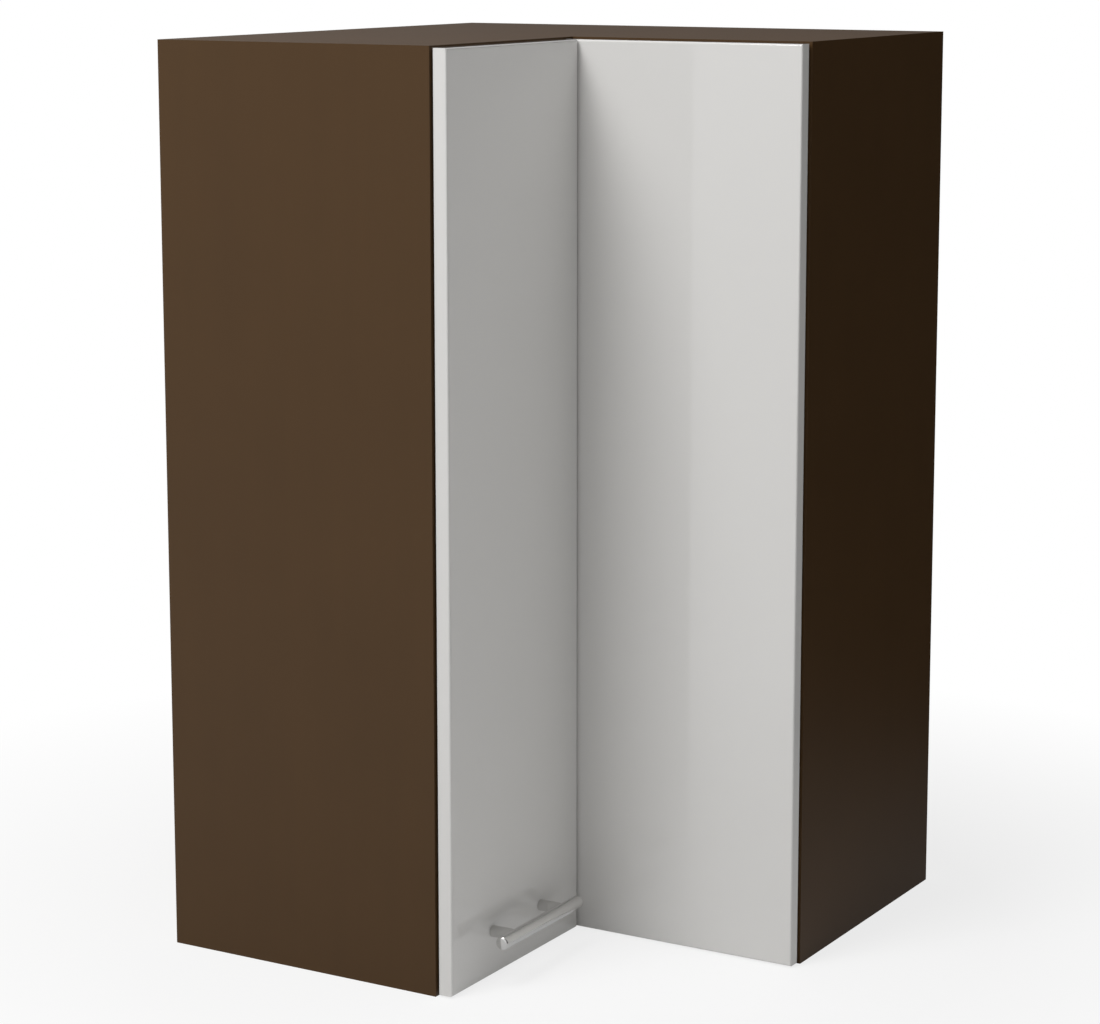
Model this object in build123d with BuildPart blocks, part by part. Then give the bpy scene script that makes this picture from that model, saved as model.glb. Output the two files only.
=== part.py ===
"""A corner wall cabinet: an L-shaped carcass for the corner of a room, with a folding door.

The room's corner lies at (-wall, +wall). The right wing runs along the back wall (+X), the left
wing along the left wall (-Y), and the two are mirror images across the plane x = -y. The right
leaf is hung on the right end panel, and the left leaf is hinged to it at the inner corner.
"""

from build123d import *
import os

# Carcass
wing_length = 600.0  # each wing along its wall, from the room's corner
wing_depth = 326.0  # from the wall to the front edge, banding included
carcass_height = 952.0
board = 16.0  # laminated chipboard of the carcass and the shelves
band = 1.0  # edge banding on the front edges
back_thickness = 3.0  # hardboard backs
back_recess = 10.0  # behind the backs, for the wall rail
groove_depth = 8.0
groove_play = 0.1  # each side of the back in its groove
groove_end_play = 0.5  # between the back's edge and the groove's floor
post_width = 40.0  # square post in the rear corner
shelf_names = ("lower_shelf", "upper_shelf")  # evenly spaced, from below
shelf_setback = 20.0  # behind the carcass's front edge
shelf_play = 1.0  # round each shelf
fit = 0.05  # radial play of pins, screws and dowels in their holes

# Carcass fittings
cam_radius = 7.4
cam_height = 12.2
cam_inset = 24.0  # from the board's end to the cam's centre
cam_rear, cam_front = 50.0, 56.0  # from the wall, and from the front edge
dowel_pitch = 50.0  # from a cam to the wooden dowel beside it
dowel_radius = 4.0
dowel_in_board, dowel_in_face = 20.0, 10.0
bolt_thread_radius = 2.5
bolt_shank_radius = 3.4
bolt_thread_length = 11.0
bolt_shank_gap = 0.2  # between the shank and the cam
bolt_neck_radius = 1.5
bolt_head_radius, bolt_head = 2.6, 2.5
bolt_head_place = 1.0  # from the cam's centre
cam_slot_play, cam_slot_past = 0.3, 3.2  # the slot for the bolt's head
cam_recess_length, cam_recess_width, cam_recess_depth = 7.0, 1.4, 1.6
post_dowel_offset = 6.0  # from the post's middle, along its diagonal
pin_radius = 2.5  # shelf pin and the drilled rows it plugs into
pin_depth = 8.0
pin_reach = 9.0  # tongue under the shelf
pin_plate = 1.5
pin_width = 10.0
pin_skirt = 1.0  # the plate reaches this far below the stem
pin_drop = 4.0  # from the shelf's underside to the stem's axis
row_pitch = 32.0
pin_rear, pin_front = 60.0, 60.0  # from the wall, and from the shelf's front edge

# Hangers in the upper rear corners of the two end panels
hanger_width, hanger_length, hanger_height = 18.0, 46.0, 56.0
hanger_drop = 4.0  # below the top panel
hanger_back_gap = 0.3  # between the housing and the back
strap_width, strap_thickness = 12.0, 3.0
strap_drop = 18.0  # from the hanger's top to the strap's upper face
hook_lip = 18.0  # the lip's height, measured from the strap's upper face
hook_clear = 1.0  # between the lip and the wall
strap_pocket = 30.0
strap_play = 4.0  # above and below the strap, for levelling
strap_side_play = 0.5  # each side of the strap in its pocket
strap_end_play = 1.0  # between the strap's end and the pocket's floor
window_side_play = 1.5  # each side of the strap in the back panel
cap_thickness = 1.3
cap_rim = 1.0  # the cap's overhang past the housing
cap_gap = 0.2  # between the cap and the housing
cap_panel_gap = 0.3  # between the cap and the end panel
cap_hole_play = 0.8  # round the adjusting screws
adjuster_radius = 2.4
adjuster_length = 26.0
adjuster_margin = 5.5  # from the hanger's top
adjuster_spacing = 38.0
adjuster_slot_half, adjuster_slot_rim, adjuster_slot_depth = 0.4, 0.6, 1.2
fixing_radius = 2.0
fixing_head = 1.0
fixing_drops = (18.0, 32.0)  # from the hanger's top
fixing_setback = 8.0  # behind the hanger's front

# Leaves
leaf_thickness = 16.0
leaf_reveal = 2.0  # the leaves' outer edges lie this far inside the carcass
front_gap = 2.0  # between the carcass's front edge and the leaves
fold_gap = 2.0  # between the left leaf's end and the right leaf's face
leaf_edge_radius = 2.0

# Hinges
hinge_margin = 108.0  # from the leaf's top and bottom to the outer hinges
hinge_count = 3
cup_radius = 17.4
cup_depth = 12.4
cup_side_play, cup_floor_play = 0.1, 0.3  # between the cup and its bore
cup_wall, cup_floor = 1.1, 0.7
cup_flange = 0.8
cup_flange_rim = 0.8  # past the cup's wall
cup_ear_length, cup_ear_width = 60.0, 13.0
cup_screw_offset, cup_screw_spacing = 9.5, 45.0
arm_pin_inset = 3.6  # from the end panel's inner face to the arm pin
arm_pin_setback = 1.0  # behind the carcass's front edge
cup_from_pin = 3.9  # the cup's centre lies this far beyond the arm pin
arm_pin_radius = 1.5
arm_nose_radius = 3.2
arm_cheek_inner = 6.4
arm_length = 54.0
arm_web_depth = 8.4  # the channel's depth, over the mounting plate
arm_web = 1.5
arm_neck = 15.0  # the stretch in front of the mounting plate
arm_swell = 7.0  # the stretch over which the channel deepens
arm_step = (-2.0, 1.0)  # from the neck's end, where the channel's edge steps up to the plate
arm_plate_gap = 0.1  # between the channel's edges and the plate
arm_mouth = 12.0  # where the channel is open to let the link through
arm_screw_radius = 2.0
arm_screw_places = (46.0, 27.0)  # from the arm pin: the fixing and the adjusting screw
arm_screw_bite, arm_screw_gap = 2.5, 0.4  # into the plate, and short of it
arm_screw_head_radius, arm_screw_head = 3.4, 1.6
plate_thickness = 3.0
plate_setback = 37.0  # from the end panel's front edge to the plate's screw line
plate_screw_spacing = 32.0
plate_wing_length, plate_wing_width = 42.0, 12.0
plate_core_length, plate_core_width = 38.0, 15.0
euro_screw_radius, euro_screw_length, euro_head_radius, euro_head = 2.5, 13.5, 3.4, 1.5
link_play = 0.4  # between the link and each cheek
link_thickness = 2.6
link_drop = 11.8  # from the arm pin to the link pin, into the cup
link_wall_gap = 2.2  # between the link's tip and the cup's wall
link_elbow_lead, link_elbow_drop = 1.1, 1.4  # past the link pin, and below the arm pin
link_eye_radius = 2.6
link_tip_radius = 2.2
link_bend_radius = 2.5
link_pin_radius = 1.2

# Hinges between the leaves
fold_pin_inset = 9.0  # behind the left leaf's back face
fold_pin_radius = 2.0
fold_eye_radius = 4.2
fold_eye_half, fold_eye_gap, fold_half_width = 9.5, 0.5, 20.0
fold_plate = 2.0
fold_plate_start, fold_plate_end = 3.0, 48.0  # from the right leaf's inner edge
fold_screw_places = (14.0, 38.0)
fold_screw_rise = 13.0
fold_pin_head_radius, fold_pin_head = 3.2, 1.5
fold_cup_edge = 4.0  # from the left leaf's end to its cup bore
fold_tongue_end = 0.5  # short of the left leaf's end
fold_web = 2.4

# Screws
wood_screw_radius, wood_screw_length, wood_head_radius, wood_head = 1.7, 10.0, 3.2, 1.5
recess_length, recess_width = 1.2, 0.3  # the cross recess, as shares of the head's radius
recess_depth = 0.6  # and as a share of the head's height

# Handle on the left leaf
bar_radius = 7.0
bar_length = 156.0
bar_chamfer = 0.6
post_spacing = 96.0
post_radius = 6.0
bar_standoff = 29.0  # from the leaf's face to the bar's axis
handle_height = 47.0  # from the leaf's lower edge to the bar's axis
handle_screw_radius, handle_screw_bite = 2.0, 12.0
handle_head_radius, handle_head = 4.5, 2.5

# Bumpers on the left leaf's back
bumper_radius = 4.0
bumper_clear = 0.3  # between a bumper and the end panel's edge
bumper_margin = 60.0

# Places that follow from these
wall = wing_length / 2
front = wing_depth - wall
core_front = front - band
inner = wall - board
under_top = carcass_height - board
leaf_back = front + front_gap
leaf_face = leaf_back + leaf_thickness
leaf_outer = wall - leaf_reveal
leaf_bottom, leaf_top = leaf_reveal, carcass_height - leaf_reveal
fold_end = leaf_face + fold_gap
back_face = wall - back_recess - back_thickness
post_face = wall - post_width
groove_range = (back_face - groove_play, back_face + back_thickness + groove_play)
plate_y = -front + plate_setback
plate_top = inner - plate_thickness
post_middle = (wall + post_face) / 2
post_dowels = [
    (-post_middle - side * post_dowel_offset, post_middle + side * post_dowel_offset)
    for side in (-1, 1)
]
shelf_count = len(shelf_names)
compartment = (under_top - board - shelf_count * board) / (shelf_count + 1)
shelf_levels = [board + compartment + i * (compartment + board) for i in range(shelf_count)]
hinge_step = (leaf_top - leaf_bottom - 2 * hinge_margin) / (hinge_count - 1)
hinge_levels = [leaf_bottom + hinge_margin + i * hinge_step for i in range(hinge_count)]
cup_bore_radius, cup_bore_depth = cup_radius + cup_side_play, cup_depth + cup_floor_play
cup_hollow = cup_radius - cup_wall
arm_pin_x, arm_pin_y = inner - arm_pin_inset, -front + arm_pin_setback
arm_cheek_outer = arm_cheek_inner + arm_web
arm_screw_lengths = (arm_web_depth + arm_screw_bite, arm_web_depth - arm_screw_gap)
cup_x = arm_pin_x - cup_from_pin
tip = (cup_x - cup_hollow + link_wall_gap + link_tip_radius, arm_pin_y - link_drop)
elbow = (tip[0] - link_elbow_lead, arm_pin_y - link_elbow_drop)
link_half_width = arm_cheek_inner - link_play
fold_pin_x, fold_pin_y = leaf_back - fold_pin_inset, -(leaf_back + leaf_face) / 2
fold_cup_y = -(fold_end + fold_cup_edge + cup_bore_radius)
bolt_shank_length = cam_inset - cam_radius - bolt_shank_gap
cam_slot_half = bolt_head_radius + cam_slot_play
fitting_places = (wall - cam_rear, -front + cam_front)
dowel_places = (wall - cam_rear - dowel_pitch, -front + cam_front + dowel_pitch)
shelf_front = front - shelf_setback
pin_places = (wall - pin_rear, -shelf_front + pin_front)
post_pin = (back_face + post_face) / 2
hanger_top = under_top - hanger_drop
strap_top = hanger_top - strap_drop
hanger_x = inner - hanger_width / 2
hanger_front = back_face - hanger_back_gap - hanger_length
hanger_back = hanger_front + hanger_length
strap_range = (strap_top - strap_thickness - strap_play, strap_top + strap_play)
adjuster_levels = (hanger_top - adjuster_margin, hanger_top - adjuster_margin - adjuster_spacing)
fixing_levels = [hanger_top - drop for drop in fixing_drops]
fixing_y = hanger_front + fixing_setback
bar_x = leaf_face + bar_standoff
bar_y = -(fold_end + leaf_outer) / 2
bar_z = leaf_bottom + handle_height
handle_posts = (bar_y - post_spacing / 2, bar_y + post_spacing / 2)
bumper_height = front_gap - bumper_clear
bumper_levels = (leaf_bottom + bumper_margin, leaf_top - bumper_margin)

across_corner = Plane(origin=(0, 0, 0), z_dir=(1, 1, 0))  # swaps the two wings
to_wall, to_room = (0, 1, 0), (0, -1, 0)
outward, inward = (1, 0, 0), (-1, 0, 0)

os.makedirs("parts", exist_ok=True)


def block(x, y, z, mode=Mode.ADD):
    """A box that fills three ranges, each (low, high)."""
    with Locations(((x[0] + x[1]) / 2, (y[0] + y[1]) / 2, (z[0] + z[1]) / 2)):
        Box(x[1] - x[0], y[1] - y[0], z[1] - z[0], mode=mode)


def rod(start, direction, radius, length, mode=Mode.ADD):
    """A round bar from a point, along a direction."""
    with Locations(Plane(origin=start, z_dir=direction)):
        Cylinder(radius, length, align=(Align.CENTER, Align.CENTER, Align.MIN), mode=mode)


def save(piece, name):
    """Labels a finished sub-part and writes it."""
    piece.part.label = name
    export_step(piece.part, f"parts/{name}.step")


def around(middle, half):
    """The range that lies half each side of a middle."""
    return (middle - half, middle + half)


# Boards of the carcass


def level_board(bottom, back, end, front_edge):
    """Adds a level L-shaped board, its edges measured from the middle of the cabinet's square."""
    with BuildSketch(Plane.XY.offset(bottom)) as plan:
        with BuildLine():
            Polyline(
                (-back, back),
                (end, back),
                (end, -front_edge),
                (front_edge, -front_edge),
                (front_edge, -end),
                (-back, -end),
                close=True,
            )
        make_face()
    extrude(plan.sketch, amount=board)


def level_bands(bottom, end, front_edge):
    """Banding on the two front edges of a level board."""
    with BuildPart() as bands:
        block((front_edge, front_edge + band), (-end, -front_edge), (bottom, bottom + board))
        block(
            (front_edge + band, end), (-front_edge - band, -front_edge), (bottom, bottom + board)
        )
    return bands


def closing_panel(bottom, room_face, into):
    """The top or bottom panel: bores for its fittings and grooves for the backs.

    room_face is the height of the face inside the cabinet, and into points from it into the board.
    """
    middle = bottom + board / 2
    groove_end = room_face + groove_depth * into[2]
    with BuildPart() as cuts:
        for y in fitting_places:
            seat = (inner - cam_inset, y, room_face)
            rod(seat, into, cam_radius + fit, cam_height + 2 * fit)
            rod((inner, y, middle), inward, bolt_shank_radius + fit, cam_inset)
        for y in dowel_places:
            rod((inner, y, middle), inward, dowel_radius + fit, dowel_in_board + fit)
        block((-post_face - groove_depth, inner), groove_range, sorted((room_face, groove_end)))
        mirror(about=across_corner)
        for x, y in post_dowels:
            rod((x, y, room_face), into, dowel_radius + fit, dowel_in_face + fit)
    with BuildPart() as panel:
        level_board(bottom, wall, inner, core_front)
        add(cuts.part, mode=Mode.SUBTRACT)
    return panel


def end_panel():
    """The right end panel: bores for the fittings, the drilled rows and the back's groove."""
    with BuildPart() as panel:
        block((inner, wall), (-core_front, wall), (0, carcass_height))
        block((inner, inner + groove_depth), groove_range,
              (board - groove_depth, under_top + groove_depth), Mode.SUBTRACT)
        for z in (board / 2, under_top + board / 2):
            for y in fitting_places:
                rod((inner, y, z), outward, bolt_thread_radius + fit, bolt_thread_length + fit,
                    Mode.SUBTRACT)
            for y in dowel_places:
                rod((inner, y, z), outward, dowel_radius + fit, dowel_in_face + fit, Mode.SUBTRACT)
        for level in shelf_levels:
            for y in pin_places:
                for step in (-row_pitch, 0, row_pitch):
                    rod((inner, y, level - pin_drop + step), outward, pin_radius + fit,
                        pin_depth + fit, Mode.SUBTRACT)
        for z in fixing_levels:
            rod((inner, fixing_y, z), outward, fixing_radius + fit, wood_screw_length + fit,
                Mode.SUBTRACT)
    return panel


def shelf(level):
    """An L-shaped shelf, loose between the panels and notched round the rear post."""
    back, end = back_face - shelf_play, inner - shelf_play
    notch = post_face - shelf_play
    with BuildPart() as board_shelf:
        level_board(level, back, end, shelf_front - band)
        block((-back, -notch), (notch, back), (level, level + board), Mode.SUBTRACT)
    return board_shelf


def both_wings(right):
    """The right wing's pieces and their mirror images in the left wing."""
    with BuildPart() as pair:
        add(right.part)
        mirror(about=across_corner)
    return pair


def left_of(right):
    """The left wing's mirror image of a piece of the right wing."""
    with BuildPart() as left:
        mirror(right.part, about=across_corner)
    return left


right_end_panel = end_panel()
left_end_panel = left_of(right_end_panel)
with BuildPart() as hung_end_panel:
    add(right_end_panel.part)
    for level in hinge_levels:
        for rise in (-plate_screw_spacing / 2, plate_screw_spacing / 2):
            rod((inner, plate_y, level + rise), outward, euro_screw_radius + fit,
                euro_screw_length - plate_thickness + fit, Mode.SUBTRACT)
save(hung_end_panel, "right_end_panel")
save(left_end_panel, "left_end_panel")

top_panel = closing_panel(under_top, under_top, (0, 0, 1))
bottom_panel = closing_panel(0, board, (0, 0, -1))
save(top_panel, "top_panel")
save(bottom_panel, "bottom_panel")

with BuildPart() as end_bands:
    block((inner, wall), (-front, -core_front), (0, carcass_height))
save(both_wings(end_bands), "end_panel_edge_bands")
save(level_bands(under_top, inner, core_front), "top_panel_edge_bands")
save(level_bands(0, inner, core_front), "bottom_panel_edge_bands")

for name, level in zip(shelf_names, shelf_levels):
    save(shelf(level), name)
    save(level_bands(level, inner - shelf_play, shelf_front - band), f"{name}_edge_bands")


# The square post in the rear corner, grooved for both backs


with BuildPart() as post_cuts:
    block((-post_face - groove_depth, -post_face), groove_range, (board, under_top))
    for level in shelf_levels:
        for step in (-row_pitch, 0, row_pitch):
            rod((-post_face, post_pin, level - pin_drop + step), inward, pin_radius + fit,
                pin_depth + fit)
    mirror(about=across_corner)
    for x, y in post_dowels:
        for z, up in ((board, (0, 0, 1)), (under_top, (0, 0, -1))):
            rod((x, y, z), up, dowel_radius + fit, dowel_in_board + fit)
with BuildPart() as rear_corner_post:
    block((-wall, -post_face), (post_face, wall), (board, under_top))
    add(post_cuts.part, mode=Mode.SUBTRACT)
save(rear_corner_post, "rear_corner_post")


# Hardboard backs, slid into the grooves and pierced for the hanger straps


back_bite = groove_depth - groove_end_play
with BuildPart() as right_back_panel:
    block((-post_face - back_bite, inner + back_bite), (back_face, back_face + back_thickness),
          (board - back_bite, under_top + back_bite))
    block(around(hanger_x, strap_width / 2 + window_side_play),
          (back_face, back_face + back_thickness), strap_range, Mode.SUBTRACT)
save(right_back_panel, "right_back_panel")
save(left_of(right_back_panel), "left_back_panel")


# Fittings that pull the level boards against the end panels


with BuildPart() as cams:
    for face, into in ((under_top, (0, 0, 1)), (board, (0, 0, -1))):
        middle = face + into[2] * board / 2
        for y in fitting_places:
            cam_x = inner - cam_inset
            rod((cam_x, y, face), into, cam_radius, cam_height)
            block((cam_x - cam_slot_past, inner), around(y, cam_slot_half),
                  around(middle, cam_slot_half), Mode.SUBTRACT)
            recess = sorted((face, face + into[2] * cam_recess_depth))
            block(around(cam_x, cam_recess_length / 2), around(y, cam_recess_width / 2), recess,
                  Mode.SUBTRACT)
            block(around(cam_x, cam_recess_width / 2), around(y, cam_recess_length / 2), recess,
                  Mode.SUBTRACT)
save(both_wings(cams), "cam_housings")

with BuildPart() as bolts:
    for z in (board / 2, under_top + board / 2):
        for y in fitting_places:
            rod((inner, y, z), outward, bolt_thread_radius, bolt_thread_length)
            rod((inner, y, z), inward, bolt_shank_radius, bolt_shank_length)
            rod((inner, y, z), inward, bolt_neck_radius, cam_inset - bolt_head_place)
            rod((inner - cam_inset + bolt_head_place, y, z), outward, bolt_head_radius, bolt_head)
save(both_wings(bolts), "cam_bolts")

with BuildPart() as right_dowels:
    for z in (board / 2, under_top + board / 2):
        for y in dowel_places:
            rod((inner - dowel_in_board, y, z), outward, dowel_radius,
                dowel_in_board + dowel_in_face)
with BuildPart() as dowels:
    add(both_wings(right_dowels).part)
    for x, y in post_dowels:
        for z in (board - dowel_in_face, under_top - dowel_in_board):
            rod((x, y, z), (0, 0, 1), dowel_radius, dowel_in_board + dowel_in_face)
save(dowels, "wooden_dowels")


# Shelf pins: a stem in the drilled row, a plate against the board and a tongue under the shelf


def shelf_pin(x, y, level, toward):
    """A pin on a face at x that looks toward the shelf along X."""
    stem_start = x - toward * pin_depth
    rod((stem_start, y, level - pin_drop), (toward, 0, 0), pin_radius, pin_depth)
    block(sorted((x, x + toward * pin_plate)), around(y, pin_width / 2),
          (level - pin_drop - pin_radius - pin_skirt, level))
    block(sorted((x, x + toward * pin_reach)), around(y, pin_width / 2),
          (level - pin_plate, level))


with BuildPart() as right_pins:
    for level in shelf_levels:
        for y in pin_places:
            shelf_pin(inner, y, level, -1)
        shelf_pin(-post_face, post_pin, level, 1)
save(both_wings(right_pins), "shelf_pins")


# Hangers: a housing on each end panel, with a hooked strap that two screws lift and draw in


with BuildPart() as housing:
    block((inner - hanger_width, inner), (hanger_front, hanger_back),
          (hanger_top - hanger_height, hanger_top))
    block(around(hanger_x, strap_width / 2 + strap_side_play),
          (hanger_back - strap_pocket, hanger_back), strap_range, Mode.SUBTRACT)
    for z in adjuster_levels:
        rod((hanger_x, hanger_front, z), to_wall, adjuster_radius + fit, adjuster_length + fit,
            Mode.SUBTRACT)
    for z in fixing_levels:
        rod((inner - hanger_width, fixing_y, z), outward, fixing_radius + fit, hanger_width,
            Mode.SUBTRACT)
save(both_wings(housing), "hanger_housings")

hook_back = wall - hook_clear
with BuildPart() as strap:
    strap_start = hanger_back - strap_pocket + strap_end_play
    block(around(hanger_x, strap_width / 2), (strap_start, hook_back),
          (strap_top - strap_thickness, strap_top))
    block(around(hanger_x, strap_width / 2), (hook_back - strap_thickness, hook_back),
          (strap_top - hook_lip, strap_top))
save(both_wings(strap), "hanger_straps")

with BuildPart() as adjusters:
    for z in adjuster_levels:
        rod((hanger_x, hanger_front, z), to_wall, adjuster_radius, adjuster_length)
        slot = (hanger_front, hanger_front + adjuster_slot_depth)
        reach = adjuster_radius - adjuster_slot_rim
        block(around(hanger_x, reach), slot, around(z, adjuster_slot_half), Mode.SUBTRACT)
        block(around(hanger_x, adjuster_slot_half), slot, around(z, reach), Mode.SUBTRACT)
save(both_wings(adjusters), "hanger_adjusting_screws")

with BuildPart() as fixings:
    for z in fixing_levels:
        screw_start = inner - hanger_width
        rod((screw_start, fixing_y, z), outward, fixing_radius, hanger_width + wood_screw_length)
        rod((screw_start, fixing_y, z), inward, wood_head_radius, fixing_head)
save(both_wings(fixings), "hanger_fixing_screws")

with BuildPart() as cap:
    block((inner - hanger_width - cap_rim, inner - cap_panel_gap),
          (hanger_front - cap_gap - cap_thickness, hanger_front - cap_gap),
          (hanger_top - hanger_height - cap_rim, hanger_top + cap_rim))
    fillet(cap.edges().filter_by(Axis.Y), cap_thickness)
    for z in adjuster_levels:
        rod((hanger_x, hanger_front, z), to_room, adjuster_radius + cap_hole_play,
            cap_gap + cap_thickness, Mode.SUBTRACT)
save(both_wings(cap), "hanger_caps")


# The hung leaf and the free leaf, each cut from one board with its edges rounded


def screw(seat, direction, radius, length, head_radius, head):
    """A screw whose head's underside is at the seat, with a cross recess in the head."""
    with Locations(Plane(origin=seat, z_dir=direction)):
        Cylinder(radius, length, align=(Align.CENTER, Align.CENTER, Align.MIN))
        Cylinder(head_radius, head, align=(Align.CENTER, Align.CENTER, Align.MAX))
    long, narrow = head_radius * recess_length, head_radius * recess_width
    deep = head * recess_depth
    with Locations(Plane(origin=seat, z_dir=direction).offset(-head)):
        Box(long, narrow, deep, align=(Align.CENTER, Align.CENTER, Align.MIN), mode=Mode.SUBTRACT)
        Box(narrow, long, deep, align=(Align.CENTER, Align.CENTER, Align.MIN), mode=Mode.SUBTRACT)


def cup_plane(level, free):
    """The plane of a cup's mouth: X towards the leaf's middle, Z out of the leaf's back."""
    if free:
        return Plane(origin=(leaf_back, fold_cup_y, level), x_dir=to_room, z_dir=inward)
    return Plane(origin=(cup_x, -leaf_back, level), x_dir=inward, z_dir=to_wall)


def cup_seats(free):
    """Bores for the cups and their screws in a leaf's back."""
    for level in hinge_levels:
        mouth = cup_plane(level, free)
        with Locations(mouth):
            Cylinder(cup_bore_radius, cup_bore_depth, mode=Mode.SUBTRACT,
                     align=(Align.CENTER, Align.CENTER, Align.MAX))
        with Locations(mouth):
            with Locations((cup_screw_offset, 0)), GridLocations(0, cup_screw_spacing, 1, 2):
                Cylinder(wood_screw_radius + fit, wood_screw_length + fit, mode=Mode.SUBTRACT,
                         align=(Align.CENTER, Align.CENTER, Align.MAX))


def cup(mouth):
    """A thin pot with a flange and two screw ears, at the mouth of its bore."""
    with BuildSketch(mouth) as flange:
        Circle(cup_radius + cup_flange_rim)
        with Locations((cup_screw_offset, 0)):
            SlotOverall(cup_ear_length, cup_ear_width, rotation=90)
        Circle(cup_hollow, mode=Mode.SUBTRACT)
        with Locations((cup_screw_offset, 0)), GridLocations(0, cup_screw_spacing, 1, 2):
            Circle(wood_screw_radius + fit, mode=Mode.SUBTRACT)
    extrude(flange.sketch, amount=cup_flange)
    with BuildSketch(mouth) as wall_ring:
        Circle(cup_radius)
        Circle(cup_hollow, mode=Mode.SUBTRACT)
    extrude(wall_ring.sketch, amount=-cup_depth)
    with BuildSketch(mouth.offset(-cup_depth)) as floor:
        Circle(cup_radius)
    extrude(floor.sketch, amount=cup_floor)


def cup_screws(free):
    """The two screws of each cup, through its ears into the leaf."""
    with BuildPart() as screws:
        for level in hinge_levels:
            mouth = cup_plane(level, free)
            for rise in (-cup_screw_spacing / 2, cup_screw_spacing / 2):
                seat = mouth.from_local_coords(Vector(cup_screw_offset, rise, cup_flange))
                screw(seat, mouth.z_dir * -1, wood_screw_radius,
                      wood_screw_length + cup_flange, wood_head_radius, wood_head)
    return screws


with BuildPart() as right_leaf:
    block((leaf_back, leaf_outer), (-leaf_face, -leaf_back), (leaf_bottom, leaf_top))
    fillet(right_leaf.faces().filter_by(Axis.Y).edges(), leaf_edge_radius)
    cup_seats(free=False)
    for level in hinge_levels:
        for x in fold_screw_places:
            for rise in (-fold_screw_rise, fold_screw_rise):
                rod((leaf_back + x, -leaf_back, level + rise), to_room, wood_screw_radius + fit,
                    wood_screw_length + fit, Mode.SUBTRACT)
save(right_leaf, "right_leaf")

with BuildPart() as left_leaf:
    block((leaf_back, leaf_face), (-leaf_outer, -fold_end), (leaf_bottom, leaf_top))
    fillet(left_leaf.faces().filter_by(Axis.X).edges(), leaf_edge_radius)
    cup_seats(free=True)
    for y in handle_posts:
        rod((leaf_back, y, bar_z), outward, handle_screw_radius + fit, leaf_thickness,
            Mode.SUBTRACT)
save(left_leaf, "left_leaf")


# Hinges of the hung leaf: plate and arm on the end panel, link on the arm's pin, cup in the leaf


with BuildPart() as plates:
    for level in hinge_levels:
        block((plate_top, inner), around(plate_y, plate_core_length / 2),
              around(level, plate_core_width / 2))
        block((plate_top, inner), around(plate_y, plate_wing_width / 2),
              around(level, plate_wing_length / 2))
        for rise in (-plate_screw_spacing / 2, plate_screw_spacing / 2):
            rod((plate_top, plate_y, level + rise), outward, euro_screw_radius + fit,
                plate_thickness, Mode.SUBTRACT)
        rod((plate_top, arm_pin_y + arm_screw_places[0], level), outward, arm_screw_radius + fit,
            plate_thickness, Mode.SUBTRACT)
save(plates, "hinge_mounting_plates")

with BuildPart() as plate_screws:
    for level in hinge_levels:
        for rise in (-plate_screw_spacing / 2, plate_screw_spacing / 2):
            screw((plate_top, plate_y, level + rise), outward, euro_screw_radius,
                  euro_screw_length, euro_head_radius, euro_head)
save(plate_screws, "hinge_plate_screws")

web_face = plate_top - arm_web_depth
arm_end = arm_pin_y + arm_length
neck_end = arm_pin_y + arm_neck
with BuildPart() as arms:
    for level in hinge_levels:
        with BuildSketch(Plane.XY.offset(level - arm_cheek_outer)) as profile:
            with BuildLine():
                Polyline(
                    (arm_pin_x - arm_nose_radius, arm_pin_y),
                    (arm_pin_x - arm_nose_radius, neck_end - arm_swell),
                    (web_face, neck_end),
                    (web_face, arm_end),
                    (plate_top - arm_plate_gap, arm_end),
                    (plate_top - arm_plate_gap, neck_end + arm_step[1]),
                    (arm_pin_x + arm_nose_radius, neck_end + arm_step[0]),
                    (arm_pin_x + arm_nose_radius, arm_pin_y),
                    close=True,
                )
            make_face()
            with Locations((arm_pin_x, arm_pin_y)):
                Circle(arm_nose_radius)
        extrude(profile.sketch, amount=2 * arm_cheek_outer)
        hollow = around(level, arm_cheek_inner)
        block((web_face + arm_web, inner), (arm_pin_y - arm_nose_radius, arm_end), hollow,
              Mode.SUBTRACT)
        block((web_face, inner), (arm_pin_y - arm_nose_radius, arm_pin_y + arm_mouth), hollow,
              Mode.SUBTRACT)
        rod((arm_pin_x, arm_pin_y, level - arm_cheek_outer), (0, 0, 1), arm_pin_radius + fit,
            2 * arm_cheek_outer, Mode.SUBTRACT)
        for place in arm_screw_places:
            rod((web_face, arm_pin_y + place, level), outward, arm_screw_radius + fit, arm_web,
                Mode.SUBTRACT)
save(arms, "hinge_arms")

with BuildPart() as arm_screws:
    for level in hinge_levels:
        for place, length in zip(arm_screw_places, arm_screw_lengths):
            screw((web_face, arm_pin_y + place, level), outward, arm_screw_radius, length,
                  arm_screw_head_radius, arm_screw_head)
save(arm_screws, "hinge_arm_screws")

with BuildPart() as arm_pins:
    for level in hinge_levels:
        rod((arm_pin_x, arm_pin_y, level - arm_cheek_outer), (0, 0, 1), arm_pin_radius,
            2 * arm_cheek_outer)
save(arm_pins, "hinge_arm_pins")

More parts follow.
